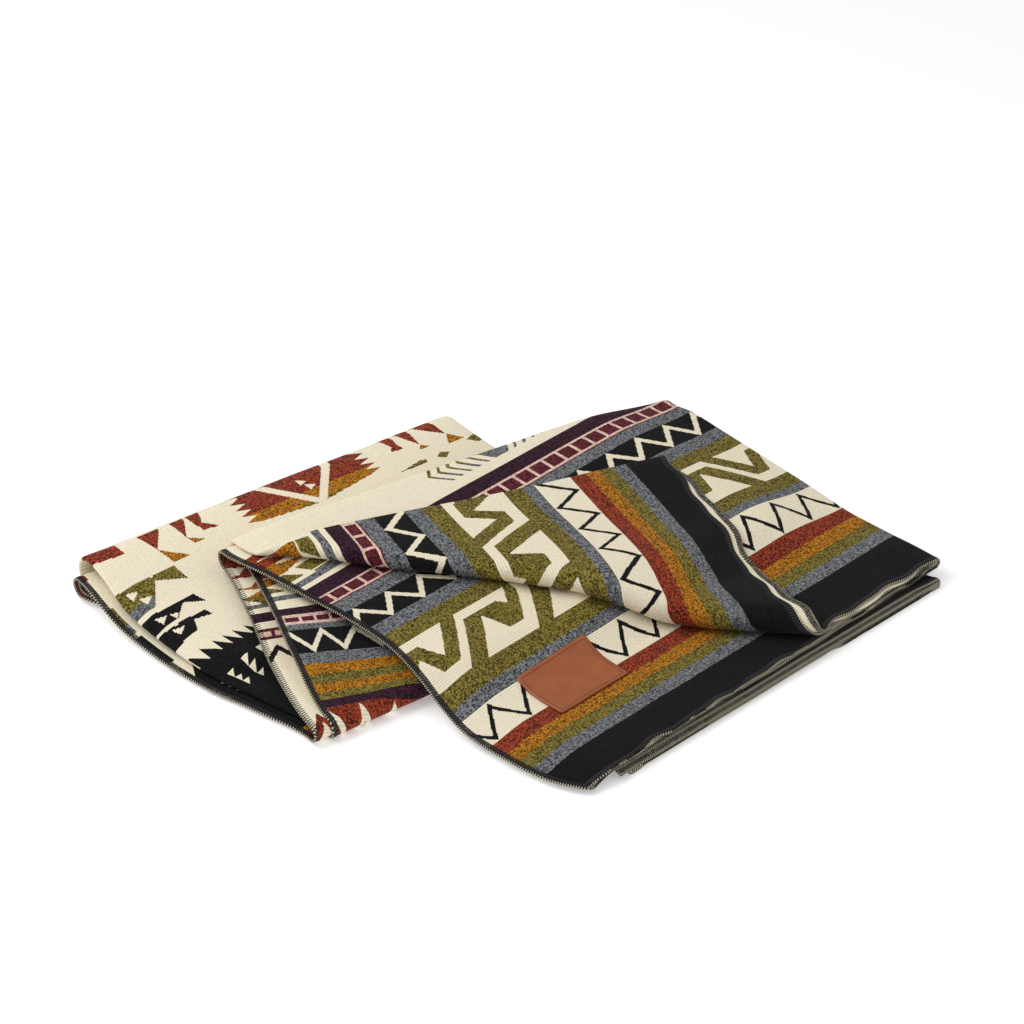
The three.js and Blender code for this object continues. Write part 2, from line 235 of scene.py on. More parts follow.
def ear_place(across, s, offset):
    past = (across - EAR_ACROSS) * side_x + s * side_s
    along = across * line_x + (s - EAR_ALONG) * line_s
    radius = ROLL[0] + (ROLL[1] - ROLL[0]) * along / ear_length
    axis = 1.5 * PITCH + radius
    arm = axis - offset
    turned = np.minimum(math.pi, past / (radius + 0.5 * PITCH))
    beyond = np.maximum(0, past - math.pi * (radius + 0.5 * PITCH))
    reach = arm * np.sin(turned) - beyond
    settled = smooth(beyond / SETTLE_REACH) * (2 * radius - PITCH - CLOTH)
    return (line_x * along + side_x * reach, EAR_ALONG + line_s * along + side_s * reach,
            axis - arm * np.cos(turned) - settled, past, beyond)


# How far each layer's front end is drawn in and its far end let out; below nought, the other way
LOWEST_END = -5
FIRST_END = (-6, 4)
SECOND_END = (5, -5)
EAR_END, EAR_END_FADE = 265, 50


def end_edge(u, across):
    near_right = smooth((MID - across) / 40)
    near_left = smooth((across - LEFT_FOLD) / 60)
    both = np.minimum(near_right, near_left)
    out = np.zeros_like(u)
    out = np.where(u < starts[1], LOWEST_END * (0.5 + 0.5 * near_right), out)
    outer_share = (starts[2] - u) / (starts[2] - starts[1])
    out = np.where((u >= starts[1]) & (u < starts[2]), 0.5 * LOWEST_END * outer_share, out)
    # On the dog-ear the first layer stands out under the second; beside it the second stands out
    beside = smooth((across - EAR_END) / EAR_END_FADE)
    first = FIRST_END[0] + (FIRST_END[1] - FIRST_END[0]) * beside
    second = SECOND_END[0] + (SECOND_END[1] - SECOND_END[0]) * beside
    out = np.where((u >= starts[2]) & (u < starts[3]), both * first, out)
    return np.where((u >= starts[4]) & (u < starts[5]), both * second, out)


# The fourth layer's selvedge is drawn in by this much on the second leg, and less further across
SELVEDGE_DRAWN_IN, DRAWN_IN_REACH = 13, 80
END_REACH, RUFFLE_REACH = 30, 40


# Takes places of the flat cloth to where the folds put them
def fold_middle(u, s):
    across, offset, bulge, ear = section_place(np.clip(u, 0, CUT_WIDTH))
    s = s + end_edge(u, across) * (1 - smooth(s / END_REACH))
    s = s + end_edge(u, across) * smooth((s - LONG + END_REACH) / END_REACH)
    s = s + (1.6 * np.sin(u / 11.3) + 1.0 * np.sin(u / 6.1 + 1)) * (1 - smooth(s / RUFFLE_REACH))
    second_leg = smooth((s - 395) / 50) - smooth((s - 655) / 30)
    recess = SELVEDGE_DRAWN_IN * second_leg * (u < starts[1])
    across = across + recess * (1 - smooth((across - S4_BORDER) / DRAWN_IN_REACH))
    level = offset / PITCH
    top, bottom = smooth(level + 0.5), 1 - smooth(level + 1.5)
    place, place_s, place_offset, past, beyond = ear_place(across + bulge, s, offset)
    turned_back = ear & (s < EAR_ALONG) & (past > 0)
    across = np.where(turned_back, place, across)
    s = np.where(turned_back, place_s, s)
    offset = np.where(turned_back, place_offset, offset)
    bulge = np.where(turned_back, 0, bulge)
    point = strip_point(across, s, offset, bulge, top, bottom)
    return point + np.array([CENTRE[0], CENTRE[1], 0])


def fold_cloth(flat):
    inner_u = np.clip(flat[:, 0], 0, CUT_WIDTH)
    inner_s = np.clip(flat[:, 1], 0, LONG)
    a_u, b_u = np.maximum(inner_u - 0.4, 0), np.minimum(inner_u + 0.4, CUT_WIDTH)
    a_s, b_s = np.maximum(inner_s - 0.6, 0), np.minimum(inner_s + 0.6, LONG)
    by_u = unit(fold_middle(b_u, inner_s) - fold_middle(a_u, inner_s))
    by_s = unit(fold_middle(inner_u, b_s) - fold_middle(inner_u, a_s))
    normal = unit(np.cross(by_s, by_u))
    point = fold_middle(inner_u, inner_s)
    point = point + by_u * (flat[:, 0] - inner_u)[:, None] + by_s * (flat[:, 1] - inner_s)[:, None]
    return (point + normal * flat[:, 2][:, None]) * MM


# The woven pattern's own measure across the cloth at each place of the section
FOURTH_LAYER_SHIFT, THIRD_LAYER_SHIFT = -869.94, 6


def pattern_across(u):
    anchors = [S4_BORDER + FOURTH_LAYER_SHIFT, MID + FOURTH_LAYER_SHIFT, -(MID - LEFT_FOLD), 0, 0,
               MID - LEFT_FOLD, MID + THIRD_LAYER_SHIFT, THIRD_LAYER_SHIFT]
    return np.interp(u, starts, anchors)


# The stripes of the second and third layers lie nearer the front edge than those of the first, which come
# nearer to it too over its last part before the left fold
DRAWN = ([0, 39, 78, 94, 127, 139, 235, 250, 278, 295, 309, 323, 420],
         [0, 52, 95, 111, 148, 158, 240, 254, 284, 297, 316, 331, 420])
DRAWN_FROM, DRAWN_FADE = -130, 120


def pattern_along(u, s):
    drawn = smooth((pattern_across(u) - DRAWN_FROM) / DRAWN_FADE) * (u > starts[2])
    return s + (np.interp(s, *DRAWN) - s) * drawn * (s < DRAWN[0][-1])


def spaced(stops):
    places = [stops[0][0]]
    for (a, _), (b, count) in zip(stops, stops[1:]):
        places += [a + (b - a) * k / count for k in range(1, count + 1)]
    return np.array(places)


# Places of the mesh's columns and rows: where each stretch ends, and how many cells it has
columns = spaced([(0, 0), (starts[1], 36), (starts[2], 8), (starts[3], 44), (starts[4], 4), (starts[5], 44),
                  (starts[6], 4), (starts[7], 46)])
station_rows = spaced([(0, 0), (60, 15), (359.5, 64), (388.5, 14), (591.4, 26), (608.6, 12), (904.5, 46),
                       (934.5, 10), (LONG, 26)])
bm = bmesh.new()
bmesh.ops.create_grid(bm, x_segments=len(columns) - 1, y_segments=len(station_rows) - 1, size=1)
bm.verts.ensure_lookup_table()
grid = np.array([v.co for v in bm.verts])
grid_u = np.interp((grid[:, 0] + 1) / 2 * (len(columns) - 1), range(len(columns)), columns)
row_place = (grid[:, 1] + 1) / 2 * (len(station_rows) - 1)
grid_m = np.interp(row_place, range(len(station_rows)), station_rows)
grid_share = section_place(grid_u)[0] / WIDE
grid_s = row_value(0, grid_m) * (1 - grid_share) + row_value(1, grid_m) * grid_share
for vert, u, s in zip(bm.verts, grid_u, grid_s):
    vert.co = (u, s, 0)

# The cloth is cut into strips along the roll of the dog-ear, so that it rolls round evenly
for origin, direction, low, high in ((starts[3], -1, starts[2], starts[3]),
                                     (starts[4], 1, starts[4], starts[5])):
    for turned in [k / TURN_STEPS for k in range(TURN_STEPS + 1)] + [1.15, 1.35]:
        angle = math.pi * turned
        ends = []
        for along in (0, ear_length):
            past = angle * (ROLL[0] + (ROLL[1] - ROLL[0]) * along / ear_length + 0.5 * PITCH)
            across = line_x * along + side_x * past
            s = EAR_ALONG + line_s * along + side_s * past
            ends.append(Vector((origin + direction * (across - LEFT_FOLD), s, 0)))
        cut = ends[1] - ends[0]
        zone = [f for f in bm.faces if low - 1 < f.calc_center_median().x < high + 1
                and f.calc_center_median().y < EAR_ALONG + 10]
        parts = {e for f in zone for e in f.edges} | {v for f in zone for v in f.verts}
        bmesh.ops.bisect_plane(bm, geom=zone + list(parts), dist=0.3, plane_co=ends[0],
                               plane_no=Vector((cut.y, -cut.x, 0)).normalized())

weave = bm.loops.layers.uv.new("weave")
lying = bm.loops.layers.uv.new("lying")
flat = np.array([v.co for v in bm.verts])
across_weave = pattern_across(flat[:, 0])
along_weave = pattern_along(flat[:, 0], flat[:, 1])
bm.verts.index_update()
for face in bm.faces:
    for loop in face.loops:
        i = loop.vert.index
        loop[weave].uv = (across_weave[i] * MM, along_weave[i] * MM)
        loop[lying].uv = (flat[i, 0] * MM, flat[i, 1] * MM)
folded = fold_cloth(flat)
for vert, place in zip(bm.verts, folded):
    vert.co = place
for face in bm.faces:
    face.smooth = True
bmesh.ops.reverse_faces(bm, faces=bm.faces)
cloth_mesh = bpy.data.meshes.new("wool_blanket")
bm.to_mesh(cloth_mesh)
bm.free()
cloth = bpy.data.objects.new("wool_blanket", cloth_mesh)
bpy.context.scene.collection.objects.link(cloth)
thickness = cloth.modifiers.new("thickness", "SOLIDIFY")
thickness.thickness = CLOTH * MM
thickness.offset = 0
thickness.material_offset = 1
thickness.material_offset_rim = 2

# The weave's colours and stripes, in order from the end edge: where each ends, its own colour, and the
# colour of the figure in it, which is also what shows on the reverse
YARN = {
    "black": (14, 13, 14), "grey": (106, 108, 111), "olive": (113, 100, 42), "mustard": (162, 105, 22),
    "rust": (132, 52, 30), "maroon": (92, 32, 42), "purple": (50, 22, 38), "pink": (226, 192, 176),
    "cream": (244, 233, 206),
}
STRIPES = [
    (52, "black", "cream"), (66, "grey", "cream"), (81, "olive", "cream"), (95, "mustard", "cream"),
    (111, "rust", "cream"), (148, "cream", "black"), (158, "grey", "cream"), (240, "olive", "cream"),
    (254, "grey", "cream"), (284, "black", "cream"), (297, "grey", "cream"), (316, "maroon", "pink"),
    (331, "purple", "cream"), (344, "cream", "grey"), (357, "cream", "olive"), (372, "cream", "mustard"),
    (469, "cream", "rust"), (481, "cream", "mustard"), (492, "cream", "olive"), (496, "cream", "grey"),
    (501, "grey", "cream"), (512, "cream", "purple"), (521, "purple", "cream"), (534, "maroon", "pink"),
    (541, "grey", "cream"), (571, "black", "cream"), (583, "grey", "cream"), (594, "mustard", "cream"),
    (604, "olive", "cream"), (612, "mustard", "cream"), (620, "olive", "cream"), (628, "purple", "cream"),
    (668, "rust", "cream"), (673, "mustard", "cream"), (773, "black", "cream"), (838, "cream", "black"),
    (852, "cream", "grey"), (870, "cream", "olive"), (885, "cream", "mustard"),
    (945, "cream", "rust"), (980, "mustard", "cream"), (1047, "olive", "cream"), (1062, "purple", "cream"),
    (1074, "cream", "purple"), (1089, "purple", "cream"), (1108, "maroon", "pink"), (1121, "grey", "cream"),
    (1151, "black", "cream"), (1165, "grey", "cream"), (1247, "olive", "cream"), (1257, "grey", "cream"),
    (1294, "cream", "black"), (1310, "rust", "cream"), (1324, "mustard", "cream"), (1339, "olive", "cream"),
    (1353, "grey", "cream"), (1405, "black", "cream"),
]
# The pattern's least step across and along, and the length of one zigzag, all in millimetres
YARN_STEP = (0.8, 1.2)
REPEAT = 36.67


def linear(rgb):
    shades = [c / 255 / 12.92 if c <= 10 else ((c / 255 + 0.055) / 1.055) ** 2.4 for c in rgb]
    return (*shades, 1)


class Graph:
    """Makes the nodes of one tree, with sums written as calls."""

    def __init__(self, tree):
        self.tree = tree

    def put(self, kind, **settings):
        node = self.tree.nodes.new(kind)
        for name, value in settings.items():
            setattr(node, name, value)
        return node

    def join(self, value, socket):
        if isinstance(value, bpy.types.NodeSocket):
            self.tree.links.new(value, socket)
        else:
            socket.default_value = value

    def math(self, operation, *values):
        node = self.put("ShaderNodeMath", operation=operation)
        for value, socket in zip(values, node.inputs):
            self.join(value, socket)
        return node.outputs[0]

    def mix(self, share, a, b):
        node = self.put("ShaderNodeMix", data_type="RGBA")
        self.join(share, node.inputs["Factor"])
        self.join(a, node.inputs[6])
        self.join(b, node.inputs[7])
        return node.outputs[2]

    def between(self, value, low, high):
        above, below = self.math("GREATER_THAN", value, low), self.math("LESS_THAN", value, high)
        return self.math("MULTIPLY", above, below)

    def steps(self, value, step):
        whole = self.math("FLOOR", self.math("DIVIDE", value, step))
        return self.math("MULTIPLY", self.math("ADD", whole, 0.5), step)


# A ramp holds 255 mm of stripes, one place to a millimetre. Its stops stand half a place early and its
# reading a little late, so that a stripe always starts on its own millimetre.
RAMP = 255
STOP_EARLY, READ_LATE = 0.5, 0.02


def stripe_colour(g, v, which):
    colour = None
    for k in range(math.ceil(LONG / RAMP)):
        ramp = g.put("ShaderNodeValToRGB")
        band = ramp.color_ramp
        band.interpolation = "CONSTANT"
        band.elements.remove(band.elements[1])
        start = 0
        first = True
        for row in STRIPES:
            low, high = max(start, k * RAMP), min(row[0], (k + 1) * RAMP)
            start = row[0]
            if high <= low:
                continue
            place = max(0, (low - k * RAMP - STOP_EARLY) / RAMP)
            stop = band.elements[0] if first else band.elements.new(place)
            stop.position = place
            stop.color = linear(YARN[row[which]])
            first = False
        g.join(g.math("DIVIDE", g.math("SUBTRACT", v, k * RAMP - READ_LATE), RAMP), ramp.inputs["Fac"])
        here = ramp.outputs["Color"]
        colour = here if colour is None else g.mix(g.math("GREATER_THAN", v, k * RAMP), colour, here)
    return colour


# A zigzag line, from its lowest points at one height to its highest at another, as wide as twice half
def zigzag(g, b, v, low, high, half, phase=0.0):
    part = g.math("FLOORED_MODULO", g.math("ADD", b, phase), REPEAT)
    saw = g.math("ABSOLUTE", g.math("SUBTRACT", g.math("DIVIDE", part, REPEAT / 2), 1))
    height = g.math("MULTIPLY_ADD", saw, high - low, low)
    off = g.math("SUBTRACT", v, height)
    return g.math("LESS_THAN", g.math("ABSOLUTE", off), half)


def band_mask(g, v, low, high, mask):
    return g.math("MULTIPLY", g.between(v, low, high), mask)


# A figure's piece with straight sides and no hollow, from its corners
def piece_mask(g, x, y, corners):
    middle_x = sum(c[0] for c in corners) / len(corners)
    middle_y = sum(c[1] for c in corners) / len(corners)
    mask = None
    for (ax, ay), (bx, by) in zip(corners, corners[1:] + corners[:1]):
        if ay == by:
            here = g.math("GREATER_THAN" if middle_y > ay else "LESS_THAN", y, float(ay))
        else:
            slope = (bx - ax) / (by - ay)
            side = ax + (middle_y - ay) * slope
            line = g.math("MULTIPLY_ADD", y, slope, ax - ay * slope)
            here = g.math("GREATER_THAN" if middle_x > side else "LESS_THAN", x, line)
        mask = here if mask is None else g.math("MULTIPLY", mask, here)
    return mask


def pieces_mask(g, x, y, pieces):
    mask = None
    for corners in pieces:
        here = piece_mask(g, x, y, corners)
        mask = here if mask is None else g.math("MAXIMUM", mask, here)
    return mask


# Hooked bars that lock into each other, in one repeat of the olive band
HOOKS = [
    [(-18, 0), (8, 32), (18, 11), (18, 0)], [(18, 0), (38, 0), (45.4, 11), (18, 11)],
    [(35, 11), (45.4, 11), (67, 43), (59, 43)], [(59, 43), (104, 43), (104, 51), (65, 51)],
    [(104, 43), (111, 35), (122, 51), (104, 51)],
    [(56, 0), (82, 37), (92, 14), (92, 0)], [(92, 0), (112, 0), (121.7, 14), (92, 14)],
    [(108, 14), (121.7, 14), (141, 42), (128.6, 42)], [(-38.7, 14), (-25, 14), (-5.7, 42), (-18, 42)],
    [(-18.1, 42), (16.3, 42), (16.3, 51), (-18, 51)], [(16.3, 42), (27.3, 22), (49.3, 51), (16.3, 51)],
]
HOOK_REPEAT = 4 * REPEAT
# Ragged flags beside the third layer's selvedge, and shorter ones further on beside both selvedges
FLAGS = [
    [(4, 346), (26, 346), (14, 357), (4, 357)], [(4, 357), (16, 357), (44, 362), (17, 372), (4, 372)],
    [(4, 370), (38, 371), (22, 381), (4, 383)], [(4, 381), (30, 384), (24, 391), (4, 392)],
    [(27, 357), (52, 357), (62, 345), (35, 345)], [(35, 345), (62, 345), (68, 336), (40, 336)],
]
LOWER_FLAGS = [
    [(0, 440), (22, 444), (14, 452), (0, 455)], [(0, 455), (30, 458), (18, 469), (0, 469)],
    [(0, 469), (28, 474), (10, 481), (0, 481)], [(0, 481), (22, 490), (0, 492)],
]
# The large figure of the third leg: ribbons on both sides of a toothed diamond, and hooks before them
RIBBONS = [
    [(55, 908), (79, 908), (61, 888)], [(61, 888), (84, 871), (65, 871)],
    [(92, 908), (107, 908), (94, 888)], [(94, 888), (108, 880), (97, 879)],
    [(110, 908), (125, 908), (118, 896), (112, 894)], [(113, 896), (120, 896), (130, 887), (114, 888)],
    [(339, 908), (353, 908), (350, 896), (343, 896)], [(343, 896), (350, 896), (352, 888), (338, 889)],
    [(358, 908), (373, 908), (369, 884)], [(369, 884), (376, 877), (363, 878)],
    [(378, 908), (401, 908), (402, 885)], [(402, 885), (413, 870), (393, 870)],
    [(-14, 914), (31, 909), (32, 897), (-14, 901)],
]
LEG_HOOKS = [
    [(-14, 870), (40, 868), (16, 842), (-14, 842)], [(38, 869), (62, 869), (64, 853), (36, 864)],
    [(-14, 838), (43, 836), (22, 822), (-14, 822)], [(40, 836.5), (54, 836), (57, 824), (38, 834)],
    [(-14, 822), (33, 815), (24, 803), (-14, 801)], [(8, 819), (48, 817), (50, 808), (30, 814)],
    [(321, 859), (352, 864), (358, 862), (357, 858)], [(369, 859), (377, 864), (385, 859), (376, 853)],
    [(412, 866), (424, 870), (430, 858), (420, 856)],
]
LEG_GAPS = [
    [(8, 833), (17, 830), (10, 825)], [(19, 829), (27, 827), (21, 822)], [(10, 816), (19, 813), (12, 808)],
    [(6, 866), (16, 862), (8, 857)], [(12, 856), (22, 853), (14, 848)],
    [(231, 902), (240, 896), (231, 893)], [(235, 893), (245, 888), (236, 884)],
]

pattern = bpy.data.node_groups.new("woven_pattern", "ShaderNodeTree")
for name, kind in (("Front", "NodeSocketColor"), ("Reverse", "NodeSocketColor"),
                   ("Height", "NodeSocketFloat")):
    pattern.interface.new_socket(name, in_out="OUTPUT", socket_type=kind)
g = Graph(pattern)
uv = g.put("ShaderNodeUVMap", uv_map="weave")
parts = g.put("ShaderNodeSeparateXYZ")
g.join(uv.outputs[0], parts.inputs[0])
raw_b = g.math("MULTIPLY", parts.outputs[0], 1000.0)
raw_v = g.math("MULTIPLY", parts.outputs[1], 1000.0)
b = g.steps(raw_b, YARN_STEP[0])
v = g.steps(raw_v, YARN_STEP[1])
ground = stripe_colour(g, v, 1)
# On the first layer the colours of the nested chevrons lie this much further on
CHEVRON_SHIFT = 12.0
first_layer = g.math("MULTIPLY", g.between(raw_b, -430.0, -1.0), g.between(v, 331.0, 425.0))
figure = stripe_colour(g, g.math("MULTIPLY_ADD", first_layer, -CHEVRON_SHIFT, v), 2)
masks = []
x = g.math("MULTIPLY", b, -1.0)
ZIGZAG_INSET = 3.5
for low, high, phase, half in ((111, 148, 0, 3.6), (254, 284, -18.3, 4.0), (541, 571, 0, 4.0),
                               (1257, 1294, 0, 3.6), (1121, 1151, 0, 4.0)):
    line = zigzag(g, b, v, low + ZIGZAG_INSET, high - ZIGZAG_INSET, half, phase)
    masks.append(band_mask(g, v, low, high, line))
SQUARE_REPEAT, SQUARE_GAP, SQUARE_INSET = 17.6, 3.4, 3.2
for low, high in ((297, 316), (521, 534), (1089, 1108)):
    part = g.math("FLOORED_MODULO", b, SQUARE_REPEAT)
    upright = g.math("LESS_THAN", part, SQUARE_GAP)
    edge = g.math("SUBTRACT", 1.0, g.between(v, low + SQUARE_INSET, high - SQUARE_INSET))
    masks.append(band_mask(g, v, low, high, g.math("MAXIMUM", upright, edge)))
masks.append(band_mask(g, v, 629, 668, zigzag(g, b, v, 634, 664, 5.5)))
hook_x = g.math("SUBTRACT", g.math("FLOORED_MODULO", g.math("ADD", b, 10.13), HOOK_REPEAT), 18.0)
hook_y = g.math("SUBTRACT", v, 173.57)
masks.append(band_mask(g, v, 170, 230, pieces_mask(g, hook_x, hook_y, HOOKS)))
# Nested chevrons of the first layer, which close on a solid middle, and the flags and line of the others
NEST_MIDDLE, NEST_SLANT = (248.0, 361.0), 0.65
NEST_REACH, NEST_SOLID, BAR_REPEAT, BAR_WIDE = 72.3, 19.5, 10.8, 3.6
nest = g.math("MULTIPLY_ADD", g.math("ABSOLUTE", g.math("SUBTRACT", v, NEST_MIDDLE[1])), NEST_SLANT,
              g.math("ABSOLUTE", g.math("SUBTRACT", x, NEST_MIDDLE[0])))
inwards = g.math("SUBTRACT", NEST_REACH, nest)
bars = g.math("LESS_THAN", g.math("FLOORED_MODULO", inwards, BAR_REPEAT), BAR_WIDE)
bars = g.math("MULTIPLY", bars, g.math("LESS_THAN", nest, NEST_REACH))
bars = g.math("MAXIMUM", bars, g.math("LESS_THAN", nest, NEST_SOLID))
masks.append(band_mask(g, v, 342, 384, bars))
past_fold = g.math("GREATER_THAN", b, 0.0)
masks.append(band_mask(g, v, 336, 394, g.math("MULTIPLY", pieces_mask(g, b, v, FLAGS), past_fold)))
masks.append(band_mask(g, v, 336.5, 342.5, past_fold))
SELVEDGE_TO_FOLD = 866.0
from_selvedge = g.math("FLOORED_MODULO", b, SELVEDGE_TO_FOLD)
masks.append(band_mask(g, v, 438, 494, pieces_mask(g, from_selvedge, v, LOWER_FLAGS)))
# Columns of small triangles on black, with a sawtooth edge beyond them
TRIANGLE_START, TRIANGLE_STEP = (8.0, 734.0), (17.5, 8.0)
TOOTH_WIDE, TOOTH_DEEP, TOOTH_TIP, TOOTH_DRIFT = 11.5, 13.0, 790.0, 0.1
step_x = g.math("FLOORED_MODULO", g.math("SUBTRACT", x, TRIANGLE_START[0]), TRIANGLE_STEP[0])
step_y = g.math("FLOORED_MODULO", g.math("SUBTRACT", raw_v, TRIANGLE_START[1]), TRIANGLE_STEP[1])
masks.append(band_mask(g, v, 734, 758, g.math("LESS_THAN", step_x, step_y)))
tooth = g.math("FLOORED_MODULO", g.math("DIVIDE", x, TOOTH_WIDE), 1.0)
tooth = g.math("MULTIPLY_ADD", tooth, -TOOTH_DEEP, TOOTH_TIP)
tooth = g.math("MULTIPLY_ADD", x, -TOOTH_DRIFT, tooth)
masks.append(band_mask(g, v, 773, 795, g.math("LESS_THAN", raw_v, tooth)))
# The diamond: its toothed sides, and the cream V that parts it
DIAMOND_MIDDLE, DIAMOND_HALF = 235.0, 79.5
DIAMOND_TOOTH, DIAMOND_TOOTH_FROM, DIAMOND_TOOTH_SLANT = 8.6, 864.0, 3.4
DIAMOND_FOOT, FOOT_RISE = 865.0, 0.12
ARM_SLANT, ARM_START, ARM_HALF = 0.92, (4.0, 870), 5.2
from_middle = g.math("ABSOLUTE", g.math("SUBTRACT", x, DIAMOND_MIDDLE))
teeth = g.math("FLOORED_MODULO", g.math("SUBTRACT", raw_v, DIAMOND_TOOTH_FROM), DIAMOND_TOOTH)
teeth = g.math("ABSOLUTE", g.math("SUBTRACT", teeth, DIAMOND_TOOTH / 2))
width = g.math("MULTIPLY_ADD", teeth, -DIAMOND_TOOTH_SLANT, DIAMOND_HALF)
diamond = g.math("LESS_THAN", from_middle, width)
foot = g.math("MULTIPLY_ADD", from_middle, FOOT_RISE, DIAMOND_FOOT)
diamond = g.math("MULTIPLY", diamond, g.math("GREATER_THAN", v, foot))
arm_middle = g.math("MULTIPLY_ADD", v, ARM_SLANT, ARM_START[0] - ARM_START[1] * ARM_SLANT)
arm = g.math("SUBTRACT", from_middle, arm_middle)
arm = g.math("LESS_THAN", g.math("ABSOLUTE", arm), ARM_HALF)
diamond = g.math("MULTIPLY", diamond, g.math("SUBTRACT", 1.0, arm))
leg = g.math("MAXIMUM", diamond, pieces_mask(g, x, v, RIBBONS + LEG_HOOKS))
leg = g.math("MULTIPLY", leg, g.math("SUBTRACT", 1.0, pieces_mask(g, x, v, LEG_GAPS)))
masks.append(band_mask(g, v, 796, 918, leg))
mask = masks[0]
for more in masks[1:]:
    mask = g.math("MAXIMUM", mask, more)
front = g.mix(mask, ground, figure)
reverse = g.mix(mask, figure, ground)
# Under the overlock stitches the edge is darkened by their black thread, in metres from the cut edge
FRONT_SEAM, REVERSE_END_SEAM, REVERSE_SIDE_SEAM, SEAM_SHARE = 0.005, 0.0045, 0.0012, 0.8
lying_uv = g.put("ShaderNodeUVMap", uv_map="lying")
lie_parts = g.put("ShaderNodeSeparateXYZ")
g.join(lying_uv.outputs[0], lie_parts.inputs[0])
half_long, half_wide = LONG * MM / 2, CUT_WIDTH * MM / 2
off_middle = g.math("ABSOLUTE", g.math("SUBTRACT", lie_parts.outputs[1], half_long))
from_ends = g.math("SUBTRACT", half_long, off_middle)
off_middle = g.math("ABSOLUTE", g.math("SUBTRACT", lie_parts.outputs[0], half_wide))
from_sides = g.math("SUBTRACT", half_wide, off_middle)
seam = g.math("LESS_THAN", g.math("MINIMUM", from_ends, from_sides), FRONT_SEAM)
front = g.mix(g.math("MULTIPLY", seam, SEAM_SHARE), front, linear(YARN["black"]))
seam = g.math("MAXIMUM", g.math("LESS_THAN", from_ends, REVERSE_END_SEAM),
              g.math("LESS_THAN", from_sides, REVERSE_SIDE_SEAM))
reverse = g.mix(g.math("MULTIPLY", seam, SEAM_SHARE), reverse, linear(YARN["black"]))
# Heathered yarn: fine flecks cell by cell over a softer noise, strong on dark yarn and faint on pale, with ribs
# along the rows as bumps. The colour also carries painted rib shade, darker in the hollows between the ribs and
# lighter on their crests. Sizes are millimetres.
SOFT_FLECK, FLECK_CELL, FLECK_STRENGTH = (2.6, 1.1), (1.25, 1.05), 2.1
RIB, LOOP = 2.1, 2.3
DARK_YARN_FLECK, PALE_YARN_FADE, DARKEST_FLECK = 1.0, -1.15, 0.15
fleck_place = g.put("ShaderNodeCombineXYZ")
g.join(g.math("DIVIDE", raw_b, SOFT_FLECK[0]), fleck_place.inputs[0])
g.join(g.math("DIVIDE", raw_v, SOFT_FLECK[1]), fleck_place.inputs[1])
flecks = g.put("ShaderNodeTexNoise", noise_dimensions="2D")
flecks.inputs["Scale"].default_value = 1.0
flecks.inputs["Detail"].default_value = 2.0
g.join(fleck_place.outputs[0], flecks.inputs["Vector"])
cell = g.put("ShaderNodeCombineXYZ")
g.join(g.math("FLOOR", g.math("DIVIDE", raw_b, FLECK_CELL[0])), cell.inputs[0])
g.join(g.math("FLOOR", g.math("DIVIDE", raw_v, FLECK_CELL[1])), cell.inputs[1])
yarn = g.put("ShaderNodeTexWhiteNoise", noise_dimensions="2D")
g.join(cell.outputs[0], yarn.inputs["Vector"])
soft = g.math("SUBTRACT", flecks.outputs[0], 0.5)
fleck = g.math("MULTIPLY_ADD", g.math("SUBTRACT", yarn.outputs[0], 0.5), FLECK_STRENGTH, soft)
rib = g.math("ABSOLUTE", g.math("SINE", g.math("MULTIPLY", raw_v, math.pi / RIB)))
loop_b = g.math("ABSOLUTE", g.math("SINE", g.math("MULTIPLY", raw_b, math.pi / LOOP)))
height = g.math("ADD", g.math("MULTIPLY", rib, 0.7), g.math("MULTIPLY", loop_b, 0.3))
height = g.math("MULTIPLY_ADD", flecks.outputs[0], 0.5, height)
group_output = g.put("NodeGroupOutput")
for k, colour in enumerate((front, reverse)):
    bright = g.put("ShaderNodeRGBToBW")
    g.join(colour, bright.inputs[0])
    amount = g.math("MULTIPLY_ADD", bright.outputs[0], PALE_YARN_FADE, DARK_YARN_FLECK)
    fleck_and_rib_shade = g.math("MAXIMUM", DARKEST_FLECK, g.math("MULTIPLY_ADD", fleck, amount, 1.0))
    # Painted shade: the yarn colour is darkened in the rib hollows and lightened on the rib crests
    fleck_and_rib_shade = g.math("MULTIPLY", fleck_and_rib_shade, g.math("MULTIPLY_ADD", rib, 0.26, 0.8))
    tone = g.put("ShaderNodeVectorMath", operation="SCALE")
    g.join(colour, tone.inputs[0])
    g.join(fleck_and_rib_shade, tone.inputs["Scale"])
    g.join(tone.outputs[0], group_output.inputs[k])
g.join(height, group_output.inputs[2])


def woven_material(name, side):
    material = bpy.data.materials.new(name)
    material.use_nodes = True
    tree = material.node_tree
    cloth_group = tree.nodes.new("ShaderNodeGroup")
    cloth_group.node_tree = pattern
    shader = tree.nodes["Principled BSDF"]
    tree.links.new(cloth_group.outputs[side], shader.inputs["Base Color"])
    bump = tree.nodes.new("ShaderNodeBump")
    bump.inputs["Strength"].default_value = 0.5
    bump.inputs["Distance"].default_value = 0.0006
    tree.links.new(cloth_group.outputs["Height"], bump.inputs["Height"])
    tree.links.new(bump.outputs[0], shader.inputs["Normal"])
    shader.inputs["Roughness"].default_value = 0.95
    shader.inputs["Specular IOR Level"].default_value = 0.2
    shader.inputs["Sheen Weight"].default_value = 0.04
    shader.inputs["Sheen Roughness"].default_value = 0.5
    return material


for material in (woven_material("wool_front", "Front"), woven_material("wool_reverse", "Reverse"),
                 woven_material("wool_edge", "Front")):
    cloth_mesh.materials.append(material)
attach(cloth, "root")
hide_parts("blanket")

# The overlock edging: black thread slants over both sides of all four edges, and a cream thread knots along
# the very edge.
STITCH = 2.3
SEAM_WIDE = 5.2
THREAD_THICK = 0.3
